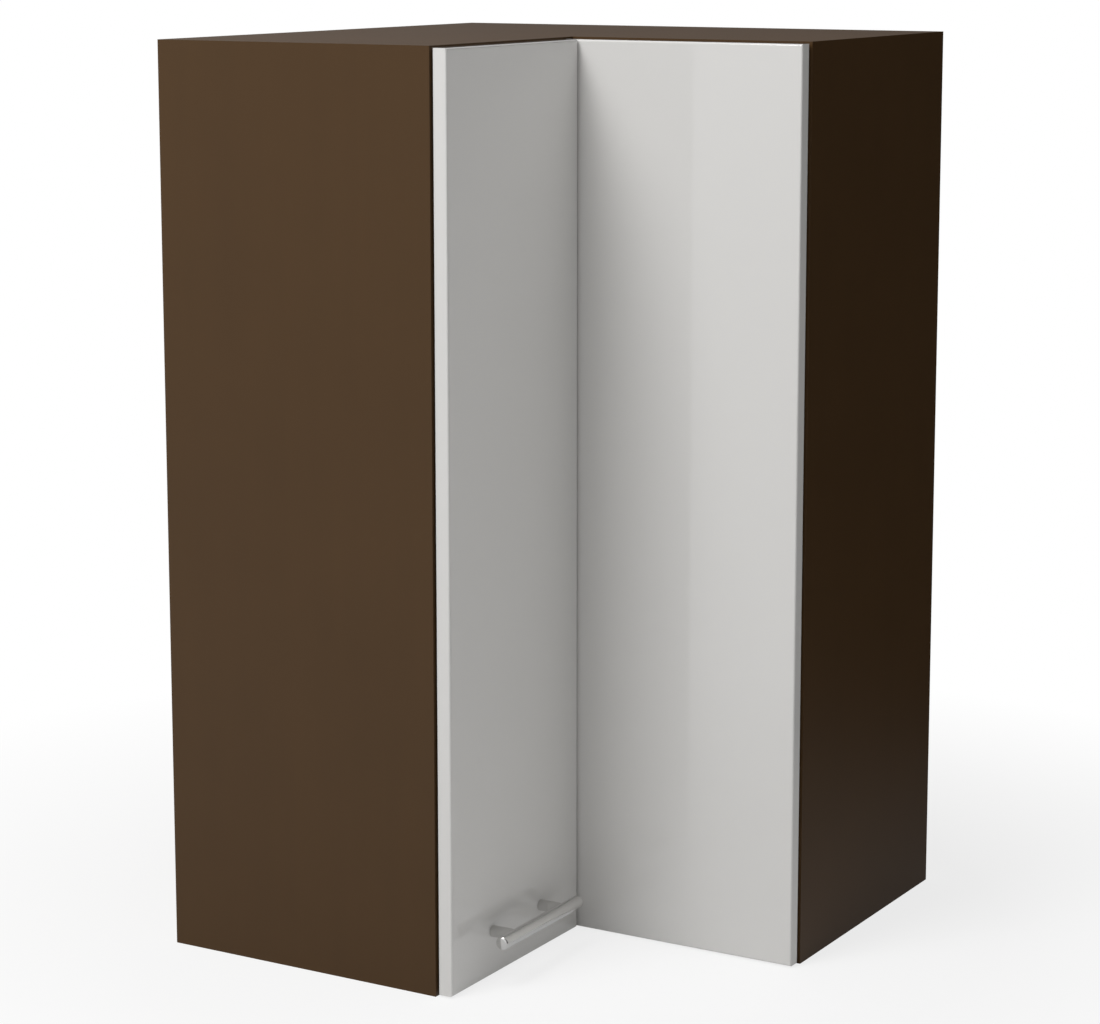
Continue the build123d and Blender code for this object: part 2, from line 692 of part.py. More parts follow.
with BuildPart() as links:
    for level in hinge_levels:
        with BuildSketch(Plane.XY.offset(level - link_half_width)) as strip:
            with BuildLine() as path:
                FilletPolyline((arm_pin_x, arm_pin_y), elbow, tip, radius=link_bend_radius)
            trace(path.line, line_width=link_thickness)
            with Locations((arm_pin_x, arm_pin_y)):
                Circle(link_eye_radius)
            with Locations(tip):
                Circle(link_tip_radius)
        extrude(strip.sketch, amount=2 * link_half_width)
        rod((arm_pin_x, arm_pin_y, level - link_half_width), (0, 0, 1), arm_pin_radius + fit,
            2 * link_half_width, Mode.SUBTRACT)
        rod((tip[0], tip[1], level - link_half_width), (0, 0, 1), link_pin_radius + fit,
            2 * link_half_width, Mode.SUBTRACT)
save(links, "hinge_links")

with BuildPart() as link_pins:
    for level in hinge_levels:
        rod((tip[0], tip[1], level - arm_cheek_inner), (0, 0, 1), link_pin_radius,
            2 * arm_cheek_inner)
save(link_pins, "hinge_link_pins")

with BuildPart() as cups:
    for level in hinge_levels:
        cup(cup_plane(level, free=False))
save(cups, "hinge_cups")
save(cup_screws(free=False), "hinge_cup_screws")


# Hinges between the leaves: a bracket on the right leaf, a pin, and a cup in the left leaf


upper_eye = fold_eye_half + fold_eye_gap
with BuildPart() as brackets:
    for level in hinge_levels:
        plate = (-leaf_back, -leaf_back + fold_plate)
        eye_left = fold_pin_x - fold_eye_radius
        block((leaf_back + fold_plate_start, leaf_back + fold_plate_end), plate,
              around(level, fold_half_width))
        for low in (level - fold_half_width, level + upper_eye):
            height = (low, low + fold_half_width - upper_eye)
            block((eye_left, leaf_back + fold_plate_start), plate, height)
            block((eye_left, eye_left + fold_plate), (fold_pin_y, plate[1]), height)
            rod((fold_pin_x, fold_pin_y, low), (0, 0, 1), fold_eye_radius, height[1] - height[0])
            rod((fold_pin_x, fold_pin_y, low), (0, 0, 1), fold_pin_radius + fit,
                height[1] - height[0], Mode.SUBTRACT)
        for x in fold_screw_places:
            for rise in (-fold_screw_rise, fold_screw_rise):
                rod((leaf_back + x, plate[1], level + rise), to_room, wood_screw_radius + fit,
                    fold_plate, Mode.SUBTRACT)
save(brackets, "fold_hinge_brackets")

with BuildPart() as bracket_screws:
    for level in hinge_levels:
        for x in fold_screw_places:
            for rise in (-fold_screw_rise, fold_screw_rise):
                screw((leaf_back + x, -leaf_back + fold_plate, level + rise), to_room,
                      wood_screw_radius, wood_screw_length + fold_plate, wood_head_radius,
                      wood_head)
save(bracket_screws, "fold_hinge_bracket_screws")

with BuildPart() as fold_pins:
    for level in hinge_levels:
        reach = fold_half_width + fold_pin_head
        rod((fold_pin_x, fold_pin_y, level - reach), (0, 0, 1), fold_pin_radius, 2 * reach)
        for head in (level - reach, level + fold_half_width):
            rod((fold_pin_x, fold_pin_y, head), (0, 0, 1), fold_pin_head_radius, fold_pin_head)
save(fold_pins, "fold_hinge_pins")

with BuildPart() as fold_cups:
    for level in hinge_levels:
        cup(cup_plane(level, free=True))
        tongue = (fold_cup_y + cup_hollow, -fold_end - fold_tongue_end)
        block((leaf_back - fold_plate, leaf_back), tongue, around(level, fold_eye_half))
        with BuildSketch(Plane.XY.offset(level - fold_eye_half)) as web:
            with BuildLine() as path:
                Line((leaf_back - fold_plate / 2, tongue[1] - fold_plate / 2),
                     (fold_pin_x, fold_pin_y))
            trace(path.line, line_width=fold_web)
            with Locations((fold_pin_x, fold_pin_y)):
                Circle(fold_eye_radius)
        extrude(web.sketch, amount=2 * fold_eye_half)
        rod((fold_pin_x, fold_pin_y, level - fold_eye_half), (0, 0, 1), fold_pin_radius + fit,
            2 * fold_eye_half, Mode.SUBTRACT)
save(fold_cups, "fold_hinge_cups")
save(cup_screws(free=True), "fold_hinge_cup_screws")


# Bar handle low on the left leaf, screwed on from the leaf's back


with BuildPart() as handle_bar:
    rod((bar_x, bar_y - bar_length / 2, bar_z), to_wall, bar_radius, bar_length)
    chamfer(handle_bar.edges().filter_by(GeomType.CIRCLE), bar_chamfer)
save(handle_bar, "handle_bar")

with BuildPart() as posts:
    for y in handle_posts:
        rod((leaf_face, y, bar_z), outward, post_radius, bar_standoff)
    rod((bar_x, bar_y - bar_length / 2, bar_z), to_wall, bar_radius + fit, bar_length,
        Mode.SUBTRACT)
    for y in handle_posts:
        rod((leaf_face, y, bar_z), outward, handle_screw_radius + fit, handle_screw_bite,
            Mode.SUBTRACT)
save(posts, "handle_posts")

with BuildPart() as handle_screws:
    for y in handle_posts:
        screw((leaf_back, y, bar_z), outward, handle_screw_radius,
              leaf_thickness + handle_screw_bite, handle_head_radius, handle_head)
save(handle_screws, "handle_screws")

with BuildPart() as bumpers:
    for z in bumper_levels:
        rod((leaf_back, -wall + board / 2, z), inward, bumper_radius, bumper_height)
    inner_rims = bumpers.edges().filter_by(GeomType.CIRCLE).group_by(Axis.X)[0]
    fillet(inner_rims, bumper_height / 2)
save(bumpers, "door_bumpers")
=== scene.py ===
"""The looks of a corner wall cabinet: brown laminate boards and a white gloss folding door."""

import bpy
import math
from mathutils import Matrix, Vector


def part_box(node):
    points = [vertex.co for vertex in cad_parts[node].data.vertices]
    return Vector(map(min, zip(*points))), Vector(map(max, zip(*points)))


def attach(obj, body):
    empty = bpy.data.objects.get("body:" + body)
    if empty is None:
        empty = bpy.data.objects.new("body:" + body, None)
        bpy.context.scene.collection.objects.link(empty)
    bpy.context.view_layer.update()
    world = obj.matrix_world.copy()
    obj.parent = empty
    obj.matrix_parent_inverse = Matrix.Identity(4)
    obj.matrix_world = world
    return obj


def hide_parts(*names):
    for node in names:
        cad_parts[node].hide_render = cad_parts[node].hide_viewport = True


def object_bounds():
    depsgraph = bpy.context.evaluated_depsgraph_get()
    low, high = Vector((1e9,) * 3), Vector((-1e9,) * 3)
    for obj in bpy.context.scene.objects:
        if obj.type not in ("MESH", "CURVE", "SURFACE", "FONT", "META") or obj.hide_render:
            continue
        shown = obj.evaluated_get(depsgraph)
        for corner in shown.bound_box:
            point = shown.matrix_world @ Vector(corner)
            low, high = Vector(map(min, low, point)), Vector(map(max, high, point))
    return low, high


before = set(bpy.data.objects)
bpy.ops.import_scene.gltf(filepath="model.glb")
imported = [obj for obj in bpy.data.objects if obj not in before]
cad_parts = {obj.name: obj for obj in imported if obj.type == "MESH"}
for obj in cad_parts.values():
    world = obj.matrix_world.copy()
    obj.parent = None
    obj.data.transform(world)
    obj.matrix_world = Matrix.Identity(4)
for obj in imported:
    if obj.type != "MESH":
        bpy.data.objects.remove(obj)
cad_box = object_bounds()


# The boards of the carcass are chipboard faced with plain dark brown laminate, which has a fine
# pearl texture. Their cut edges, bores and grooves show the bare chipboard; the end panels' upper
# and lower edges are closed with the same brown.

rightward, rearward, upward = 0, 1, 2  # the axes
laminate_brown = (0.069, 0.0355, 0.0122)
brown_dark, brown_pale = 0.80, 1.20  # how far the laminate strays from its brown
laminate_roughness, laminate_shine = 0.40, 0.20
pearl_scale, cloud_scale, streak_scale = 1100, 9, 40  # in waves per metre, as every scale here
pearl_share, cloud_share, streak_share = 0.40, 0.35, 0.25
pearl_roughness, streak_draw = 0.10, (1, 1, 0.05)
chip_pale, chip_dark = (0.58, 0.44, 0.27), (0.30, 0.20, 0.11)
chip_scale, grit_scale = 420, 900
chip_share, grit_share = 0.7, 0.3
chip_roughness = 0.35  # on top of the laminate's
pearl_relief, chip_relief = 1.5, 4
board_relief = 0.00006  # how far a relief of 1 reaches, in metres
square_on = 0.5  # a face looks along an axis if its normal has more than this of it
closed_edge = 0.0005  # the end panels are closed this near the cabinet's top and bottom


class Wire:
    """A socket of a material's nodes, on which arithmetic adds Math nodes."""

    def __init__(self, tree, socket=None):
        self.tree, self.socket = tree, socket

    def node(self, kind, settings, sockets, out=0):
        """Adds a node: its settings first, then the values or links of its sockets."""
        made = self.tree.nodes.new("ShaderNode" + kind)
        for name, value in settings.items():
            setattr(made, name, value)
        for name, value in sockets.items():
            if isinstance(value, Wire):
                self.tree.links.new(value.socket, made.inputs[name])
            elif isinstance(value, tuple) and made.inputs[name].type == "RGBA":
                made.inputs[name].default_value = (*value, 1)
            else:
                made.inputs[name].default_value = value
        return Wire(self.tree, made.outputs[out] if made.outputs else None)

    def math(self, operation, *values):
        """What a Math node makes of some values."""
        return self.node("Math", {"operation": operation}, dict(enumerate(values)))

    def __add__(self, other):
        return self.math("ADD", self, other)

    def __sub__(self, other):
        return self.math("SUBTRACT", self, other)

    def __rsub__(self, other):
        return self.math("SUBTRACT", other, self)

    def __mul__(self, other):
        return self.math("MULTIPLY", self, other)

    def __gt__(self, other):
        return self.math("GREATER_THAN", self, other)

    def __lt__(self, other):
        return self.math("LESS_THAN", self, other)

    __radd__, __rmul__ = __add__, __mul__

    def mix(self, low, high):
        """The colour between two colours, by this value."""
        return self.node("Mix", {"data_type": "RGBA"}, {0: self, 6: low, 7: high}, out=2)

    def shades(self, colour, dark, pale=1):
        """A colour that goes from a dark share of itself to a pale one, by this value."""
        return self.mix(tuple(c * dark for c in colour), tuple(c * pale for c in colour))

    def place(self):
        """Where the surface is, on the piece's own coordinates in metres."""
        return self.node("TexCoord", {}, {}, out="Object")

    def facing(self):
        """The direction in which the surface looks."""
        return self.node("TexCoord", {}, {}, out="Normal")

    def along(self, axis):
        """How much of a place or a direction lies along an axis."""
        return self.node("SeparateXYZ", {}, {"Vector": self}, out=axis)

    def noise(self, scale, detail=2, stretch=(1, 1, 1)):
        """Noise like clouds, drawn out along an axis where stretch is under 1."""
        place = self.node("Mapping", {}, {"Vector": self.place(), "Scale": stretch})
        return self.node("TexNoise", {}, {"Vector": place, "Scale": scale, "Detail": detail})

    def flakes(self, scale):
        """Flakes that fill the piece, each with a value of its own."""
        cells = self.node("TexVoronoi", {}, {"Vector": self.place(), "Scale": scale}, out="Color")
        return self.node("SeparateColor", {}, {"Color": cells})

    def bump(self, height, distance, onto=None):
        """A normal bent by a height; distance is the height's reach in metres."""
        sockets = {"Height": height, "Distance": distance}
        if onto:
            sockets["Normal"] = onto
        return self.node("Bump", {}, sockets)


def new_finish(name):
    """A material with nothing in it yet, and a wire to build its nodes on."""
    material = bpy.data.materials.new(name)
    material.use_nodes = True
    material.node_tree.nodes.clear()
    return material, Wire(material.node_tree)


def close_finish(wire, **sockets):
    """Ends a finish with its shader; the sockets' names are given with _ for a space."""
    sockets = {name.replace("_", " "): value for name, value in sockets.items()}
    shader = wire.node("BsdfPrincipled", {}, sockets)
    wire.node("OutputMaterial", {}, {"Surface": shader})


def finish_nodes(material, *names):
    """Gives CAD nodes a finish."""
    for name in names:
        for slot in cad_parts[name].material_slots:
            slot.material = material


def board_finish(name, across):
    """Laminate on the faces that look along the axis across, bare chipboard elsewhere."""
    material, wire = new_finish(name)
    pearl = wire.noise(pearl_scale, detail=3)
    clouds = wire.noise(cloud_scale, detail=4)
    streaks = wire.noise(streak_scale, detail=3, stretch=streak_draw)
    tone = clouds * cloud_share + streaks * streak_share + pearl * pearl_share
    brown = tone.shades(laminate_brown, brown_dark, brown_pale)
    flake = wire.flakes(chip_scale)
    grit = wire.noise(grit_scale, detail=3)
    chips = (flake * chip_share + grit * grit_share).mix(chip_dark, chip_pale)
    bare = wire.math("ABSOLUTE", wire.facing().along(across)) < square_on
    if across != upward:
        height = wire.place().along(upward)
        above = height > cad_box[0].z + closed_edge
        below = height < cad_box[1].z - closed_edge
        bare = bare * (above * below)
    relief = pearl * (1 - bare) * pearl_relief + flake * bare * chip_relief
    close_finish(
        wire,
        Base_Color=bare.mix(brown, chips),
        Roughness=laminate_roughness + pearl * pearl_roughness + bare * chip_roughness,
        Specular_IOR_Level=laminate_shine,
        Normal=wire.bump(relief, board_relief),
    )
    return material


finish_nodes(board_finish("laminate board, level", upward),
             "top_panel", "bottom_panel", "lower_shelf", "upper_shelf")
finish_nodes(board_finish("laminate board, right end", rightward), "right_end_panel")
finish_nodes(board_finish("laminate board, left end", rearward), "left_end_panel")


# The square post in the rear corner is faced with the same brown laminate. The banding on the
# boards' front edges is a glued-on plastic strip of that brown, a little smoother.

post_relief = 0.00009
material, wire = new_finish("laminate post")
pearl = wire.noise(pearl_scale, detail=3)
tone = wire.noise(cloud_scale, detail=4) * (1 - pearl_share) + pearl * pearl_share
close_finish(
    wire,
    Base_Color=tone.shades(laminate_brown, brown_dark, brown_pale),
    Roughness=laminate_roughness + pearl * pearl_roughness,
    Specular_IOR_Level=laminate_shine,
    Normal=wire.bump(pearl, post_relief),
)
finish_nodes(material, "rear_corner_post")

banding_dark, banding_pale = 0.92, 1.10
banding_roughness, grain_roughness = 0.32, 0.10
banding_cloud_scale, grain_scale, banding_relief = 30, 700, 0.00002
material, wire = new_finish("brown edging")
grain = wire.noise(grain_scale)
clouds = wire.noise(banding_cloud_scale, detail=3)
close_finish(
    wire,
    Base_Color=clouds.shades(laminate_brown, banding_dark, banding_pale),
    Roughness=banding_roughness + grain * grain_roughness,
    Specular_IOR_Level=laminate_shine,
    Normal=wire.bump(grain, banding_relief),
)
finish_nodes(material, "end_panel_edge_bands", "top_panel_edge_bands", "bottom_panel_edge_bands",
             "lower_shelf_edge_bands", "upper_shelf_edge_bands")


# The backs are thin hardboard, slid into grooves: printed brown on the face inside the cabinet,
# and on the face towards the wall bare pressed fibre, marked by the mesh of the press's screen.

fibre_light, fibre_dark = (0.30, 0.185, 0.10), (0.16, 0.092, 0.046)
tuft_scale, fibre_scale, tuft_share = 160, 1400, 0.6
screen_pitch = 0.0016  # from one wire of the screen to the next
print_dark, print_scale = 0.85, 12
print_roughness, print_shine = 0.45, 0.35
fibre_roughness = 0.35  # on top of the print's
fibre_relief, screen_relief, back_relief = 2, 0.5, 0.00008


def back_finish(name, across, toward_wall):
    """Hardboard whose bare face looks along the axis across, in the direction toward_wall."""
    material, wire = new_finish(name)
    bare = wire.facing().along(across) * toward_wall > square_on
    tufts = wire.noise(tuft_scale, detail=6)
    fibres = tufts * tuft_share + wire.noise(fibre_scale) * (1 - tuft_share)
    sideways = rearward if across == rightward else rightward
    turns = 2 * math.pi / screen_pitch
    upright_wires = wire.math("SINE", wire.place().along(sideways) * turns)
    level_wires = wire.math("SINE", wire.place().along(upward) * turns)
    screen = upright_wires * level_wires
    printed = wire.noise(print_scale, detail=4).shades(laminate_brown, print_dark)
    relief = fibres * fibre_relief + screen * bare * screen_relief
    close_finish(
        wire,
        Base_Color=bare.mix(printed, fibres.mix(fibre_dark, fibre_light)),
        Roughness=print_roughness + bare * fibre_roughness,
        Specular_IOR_Level=print_shine,
        Normal=wire.bump(relief, back_relief),
    )
    return material


finish_nodes(back_finish("hardboard, right back", rearward, 1), "right_back_panel")
finish_nodes(back_finish("hardboard, left back", rightward, -1), "left_back_panel")


# The two leaves are fibreboard wrapped in a white high-gloss film, over the front and round the
# edges. The film has a faint orange-peel that bends its reflections. The backs are plain white
# satin laminate.

film_white, film_dark = (0.745, 0.735, 0.716), 0.985
film_roughness, satin_roughness = 0.08, 0.35  # the satin's is on top of the film's
film_shine, coat_roughness = 0.2, 0.02
peel_scale, ripple_scale, ripple_share, peel_relief = 55, 230, 0.25, 0.00005
satin_scale, satin_relief = 1200, 0.00004
shade_scale, shade_roughness = 4, 0.03
leaf_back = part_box("right_leaf")[1].y
back_skin = 0.0004  # the satin laminate's thickness


def leaf_finish(name, across, toward_room):
    """Gloss film, and satin on the back of a leaf that lies square to the axis across."""
    material, wire = new_finish(name)
    satin = wire.place().along(across) * toward_room < -leaf_back + back_skin
    peel = wire.noise(peel_scale) + wire.noise(ripple_scale, detail=1) * ripple_share
    pearl = wire.noise(satin_scale, detail=3)
    shade = wire.noise(shade_scale, detail=3)
    front_bump = wire.bump(peel * (1 - satin), peel_relief)
    close_finish(
        wire,
        Base_Color=shade.shades(film_white, film_dark),
        Roughness=film_roughness + satin * satin_roughness + shade * shade_roughness,
        Specular_IOR_Level=film_shine,
        Coat_Weight=1 - satin,
        Coat_Roughness=coat_roughness,
        Normal=wire.bump(pearl * satin, satin_relief, onto=front_bump),
    )
    return material


finish_nodes(leaf_finish("white gloss leaf, right", rearward, -1), "right_leaf")
finish_nodes(leaf_finish("white gloss leaf, left", rightward, 1), "left_leaf")


# The concealed hinges and the hinges between the leaves are pressed from steel strip and nickel
# plated, with faint draw lines; their pins are turned and bright.

nickel, nickel_roughness, strip_draw = (0.60, 0.565, 0.51), 0.27, (1, 1, 0.08)
bright_steel, bright_roughness, pin_draw = (0.72, 0.71, 0.69), 0.14, (1, 1, 0.02)
mark_scale, mark_roughness, mark_relief = 900, 0.12, 0.00001
stain_scale, stain_roughness, stain_dark = 60, 0.06, 0.90


def steel_finish(name, colour, roughness, draw=(1, 1, 1)):
    """Plated steel with faint marks, drawn out along an axis where draw is under 1."""
    material, wire = new_finish(name)
    marks = wire.noise(mark_scale, detail=3, stretch=draw)
    stains = wire.noise(stain_scale, detail=3)
    close_finish(
        wire,
        Base_Color=stains.shades(colour, stain_dark),
        Metallic=1.0,
        Roughness=roughness + marks * mark_roughness + stains * stain_roughness,
        Normal=wire.bump(marks, mark_relief),
    )
    return material


finish_nodes(steel_finish("nickel-plated strip", nickel, nickel_roughness, strip_draw),
             "hinge_mounting_plates", "hinge_arms", "hinge_links", "hinge_cups",
             "fold_hinge_brackets", "fold_hinge_cups")
finish_nodes(steel_finish("bright turned pin", bright_steel, bright_roughness, pin_draw),
             "hinge_arm_pins", "hinge_link_pins", "fold_hinge_pins")


# The screws are pressed and rolled from steel wire and zinc plated, a little cloudier than the
# hinges. They hold the hinges, the handle and the hangers.

zinc_plate, zinc_roughness = (0.60, 0.59, 0.56), 0.26
finish_nodes(steel_finish("zinc-plated screw", zinc_plate, zinc_roughness),
             "hinge_plate_screws", "hinge_arm_screws", "hinge_cup_screws",
             "fold_hinge_bracket_screws", "fold_hinge_cup_screws", "handle_screws",
             "hanger_fixing_screws", "hanger_adjusting_screws")


# The boards are drawn together by cams, which turn in round housings and grip the heads of bolts.
# All are die-cast zinc, left as they come from the mould, dull and slightly pitted.

cast_dark, cast_pale = (0.36, 0.36, 0.355), (0.48, 0.48, 0.47)
cast_roughness, pit_roughness = 0.42, 0.2
pit_scale, pit_relief, cast_cloud_scale = 700, 0.00004, 80
material, wire = new_finish("die-cast zinc")
pits = wire.noise(pit_scale, detail=4)
close_finish(
    wire,
    Base_Color=wire.noise(cast_cloud_scale, detail=3).mix(cast_dark, cast_pale),
    Metallic=1.0,
    Roughness=cast_roughness + pits * pit_roughness,
    Normal=wire.bump(pits, pit_relief),
)
finish_nodes(material, "cam_housings", "cam_bolts")


# Beech dowels keep the boards in line. They are turned with fluted sides, so that the glue can
# escape, and a chamfer at each end.

dowel_sides, dowel_chamfer, chamfer_steps = 24, 0.0012, 2
flute_edge, flute_depth = 0.00012, 0.00030
side_lean = 0.1  # the most that a side's normal may lean along the dowel
beech_dark, beech_pale = (0.42, 0.27, 0.14), (0.62, 0.45, 0.27)
beech_roughness, beech_scale, beech_relief, beech_draw = 0.6, 260, 0.00005, (0.12, 1, 1)
weld = 0.000001  # corners nearer than this are one
place_digits = 5  # solids are put in order by places rounded to this many digits
rim_angle = math.radians(60)  # on a turned bar only the two rims are as sharp as this


def solids_of(name):
    """The lowest and highest corner of each solid in a CAD node, in order of place."""
    bpy.ops.object.select_all(action="DESELECT")
    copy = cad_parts[name].copy()
    copy.data = copy.data.copy()
    bpy.context.scene.collection.objects.link(copy)
    copy.select_set(True)
    bpy.context.view_layer.objects.active = copy
    bpy.ops.object.mode_set(mode="EDIT")
    bpy.ops.mesh.select_all(action="SELECT")
    bpy.ops.mesh.remove_doubles(threshold=weld)
    bpy.ops.mesh.separate(type="LOOSE")
    bpy.ops.object.mode_set(mode="OBJECT")
    solids = []
    for part in list(bpy.context.selected_objects):
        corners = [vertex.co for vertex in part.data.vertices]
        solids.append([Vector(kind(corner[axis] for corner in corners) for axis in range(3))
                       for kind in (min, max)])
        bpy.data.objects.remove(part)
    return sorted(solids, key=lambda box: [round(place, place_digits) for place in box[0]])


def turned(sides, radius, start, end, rounding, steps):
    """A bar turned about the line from start to end, its two rims rounded over in some steps."""
    bpy.ops.object.select_all(action="DESELECT")
    along = end - start
    bpy.ops.mesh.primitive_cylinder_add(
        vertices=sides, radius=radius, depth=along.length, location=(start + end) / 2,
        rotation=along.to_track_quat("Z", "Y").to_euler(),
    )
    bpy.ops.object.transform_apply(location=True, rotation=True, scale=True)
    bpy.ops.object.mode_set(mode="EDIT")
    bpy.ops.mesh.select_mode(type="EDGE")
    bpy.ops.mesh.select_all(action="DESELECT")
    bpy.ops.mesh.edges_select_sharp(sharpness=rim_angle)
    bpy.ops.mesh.bevel(offset=rounding, segments=steps, affect="EDGES")
    bpy.ops.object.mode_set(mode="OBJECT")
    return bpy.context.object


def join_as(name, pieces):
    """One object out of several, with a new name."""
    bpy.ops.object.select_all(action="DESELECT")
    for piece in pieces:
        piece.select_set(True)
    bpy.context.view_layer.objects.active = pieces[0]
    bpy.ops.object.join()
    pieces[0].name = name
    return pieces[0]


def settle(piece, material, node, body):
    """Gives a finished piece its material and its place in the frame."""
    piece.data.materials.clear()
    piece.data.materials.append(material)
    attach(piece, body)
    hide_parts(node)


dowels = []
for low, high in solids_of("wooden_dowels"):
    size = high - low
    along = max(range(3), key=lambda axis: size[axis])
    middle = (low + high) / 2
    start, end = middle.copy(), middle.copy()
    start[along], end[along] = low[along], high[along]
    dowel = turned(dowel_sides, min(size) / 2, start, end, dowel_chamfer, chamfer_steps)
    for face in dowel.data.polygons:
        face.select = False
    sides = [face for face in dowel.data.polygons if abs(face.normal[along]) < side_lean]
    across = [axis for axis in range(3) if axis != along]
    sides.sort(key=lambda face: math.atan2(*(face.center[axis] - middle[axis] for axis in across)))
    for face in sides[::2]:
        face.select = True
    bpy.ops.object.mode_set(mode="EDIT")
    bpy.ops.mesh.select_mode(type="FACE")
    bpy.ops.mesh.inset(thickness=flute_edge, depth=-flute_depth, use_individual=True)
    bpy.ops.object.mode_set(mode="OBJECT")
    dowels.append(dowel)

material, wire = new_finish("beech")
grain = wire.noise(beech_scale, detail=4, stretch=beech_draw)
close_finish(wire, Base_Color=grain.mix(beech_dark, beech_pale), Roughness=beech_roughness,
             Normal=wire.bump(grain, beech_relief))
settle(join_as("fluted_dowels", dowels), material, "wooden_dowels", "carcass")


# The shelves rest on pins, turned from steel and nickel plated, that are pushed into the drilled
# rows by hand. They are paler and smoother than the hinges.

pin_nickel, pin_roughness = (0.70, 0.68, 0.64), 0.20
finish_nodes(steel_finish("nickel-plated shelf pin", pin_nickel, pin_roughness), "shelf_pins")


# A hanger's housing and cap are moulded in pale grey plastic with a spark-eroded surface; its
# hooked strap is galvanised steel with a fine spangle.

plastic_dark, plastic_pale = (0.60, 0.60, 0.58), (0.66, 0.66, 0.64)
plastic_roughness, spark_roughness = 0.42, 0.15
spark_scale, spark_relief, plastic_cloud_scale = 2200, 0.00003, 25
material, wire = new_finish("moulded pale grey plastic")
spark = wire.noise(spark_scale)
close_finish(
    wire,
    Base_Color=wire.noise(plastic_cloud_scale).mix(plastic_dark, plastic_pale),
    Roughness=plastic_roughness + spark * spark_roughness,
    Normal=wire.bump(spark, spark_relief),
)
finish_nodes(material, "hanger_housings", "hanger_caps")

strap_dark, strap_pale = (0.46, 0.47, 0.48), (0.64, 0.65, 0.66)
strap_roughness, spangle_roughness = 0.30, 0.15
spangle_scale, strap_grain_scale, strap_relief = 260, 1500, 0.00001
material, wire = new_finish("galvanised strap")
spangle = wire.flakes(spangle_scale)
close_finish(
    wire,
    Base_Color=spangle.mix(strap_dark, strap_pale),
    Metallic=1.0,
    Roughness=strap_roughness + spangle * spangle_roughness,
    Normal=wire.bump(wire.noise(strap_grain_scale), strap_relief),
)
finish_nodes(material, "hanger_straps")


# The handle is a round bar of steel on two turned posts, satin chrome plated. The bar's ends are
# rounded over; each post is hollowed to the bar, brazed to it, and screwed on through the leaf.

lathe_sides = 96
end_rounding, end_steps = 0.0022, 8
foot_rounding, foot_steps = 0.0006, 4
braze_depth = 0.0001  # how far a post reaches into the bar
crease = math.radians(30)  # faces that meet at less than this are shaded as one
chrome_dark, chrome_pale = (0.63, 0.625, 0.615), (0.69, 0.685, 0.675)
chrome_roughness, line_roughness, smudge_roughness = 0.05, 0.05, 0.04
line_scale, line_draw, line_relief, smudge_scale = 1600, (1, 0.03, 1), 0.000006, 45

low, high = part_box("handle_bar")
bar_middle = (low + high) / 2
bar_radius = (high.z - low.z) / 2
bar_ends = [Vector((bar_middle.x, y, bar_middle.z)) for y in (low.y, high.y)]
bar = turned(lathe_sides, bar_radius, *bar_ends, end_rounding, end_steps)
bpy.ops.object.shade_smooth_by_angle(angle=crease)
bar.name = "polished_bar"

posts = []
for low, high in solids_of("handle_posts"):
    foot = (low + high) / 2
    foot.x = low.x
    top = foot.copy()
    top.x = bar_middle.x
    post_radius = (high.z - low.z) / 2
    post = turned(lathe_sides, post_radius, foot, top, foot_rounding, foot_steps)
    hollow = turned(lathe_sides, bar_radius - braze_depth, *bar_ends, end_rounding, steps=1)
    bpy.context.view_layer.objects.active = post
    cut = post.modifiers.new("hollow", "BOOLEAN")
    cut.operation, cut.solver, cut.object = "DIFFERENCE", "EXACT", hollow
    bpy.ops.object.modifier_apply(modifier=cut.name)
    bpy.data.objects.remove(hollow)
    posts.append(post)
join_as("polished_posts", posts)
bpy.ops.object.shade_smooth_by_angle(angle=crease)

material, wire = new_finish("satin chrome")
lines = wire.noise(line_scale, stretch=line_draw)
smudges = wire.noise(smudge_scale, detail=3)
close_finish(
    wire,
    Base_Color=smudges.mix(chrome_dark, chrome_pale),
    Metallic=1.0,
    Roughness=chrome_roughness + lines * line_roughness + smudges * smudge_roughness,
    Normal=wire.bump(lines, line_relief),
)
settle(bar, material, "handle_bar", "free_leaf")
settle(posts[0], material, "handle_posts", "free_leaf")


# The bumpers are drops of clear soft plastic, stuck to the left leaf's back where it meets the
# end panel.

dome_sides, dome_rings = 48, 24
bumper_dark, bumper_pale = (0.78, 0.79, 0.78), (0.86, 0.87, 0.86)
bumper_roughness, haze_roughness, haze_scale = 0.18, 0.08, 300
clearness, plastic_bending = 0.7, 1.45  # its transmission and its index of refraction

bumpers = []
for low, high in solids_of("door_bumpers"):
    middle = (low + high) / 2
    stuck = Vector((high.x, middle.y, middle.z))
    radius = (high.z - low.z) / 2
    bpy.ops.object.select_all(action="DESELECT")
    bpy.ops.mesh.primitive_uv_sphere_add(
        segments=dome_sides, ring_count=dome_rings, radius=radius, location=stuck,
        rotation=(0, math.pi / 2, 0),
    )
    bpy.ops.object.transform_apply(location=True, rotation=True, scale=True)
    bpy.ops.object.mode_set(mode="EDIT")
    bpy.ops.mesh.select_all(action="SELECT")
    bpy.ops.mesh.bisect(plane_co=stuck, plane_no=(1, 0, 0), use_fill=True, clear_outer=True)
    bpy.ops.mesh.select_all(action="SELECT")
    bpy.ops.transform.resize(value=((high.x - low.x) / radius, 1, 1), center_override=stuck)
    bpy.ops.mesh.normals_make_consistent(inside=False)
    bpy.ops.object.mode_set(mode="OBJECT")
    bpy.ops.object.shade_smooth_by_angle(angle=crease)
    bumpers.append(bpy.context.object)

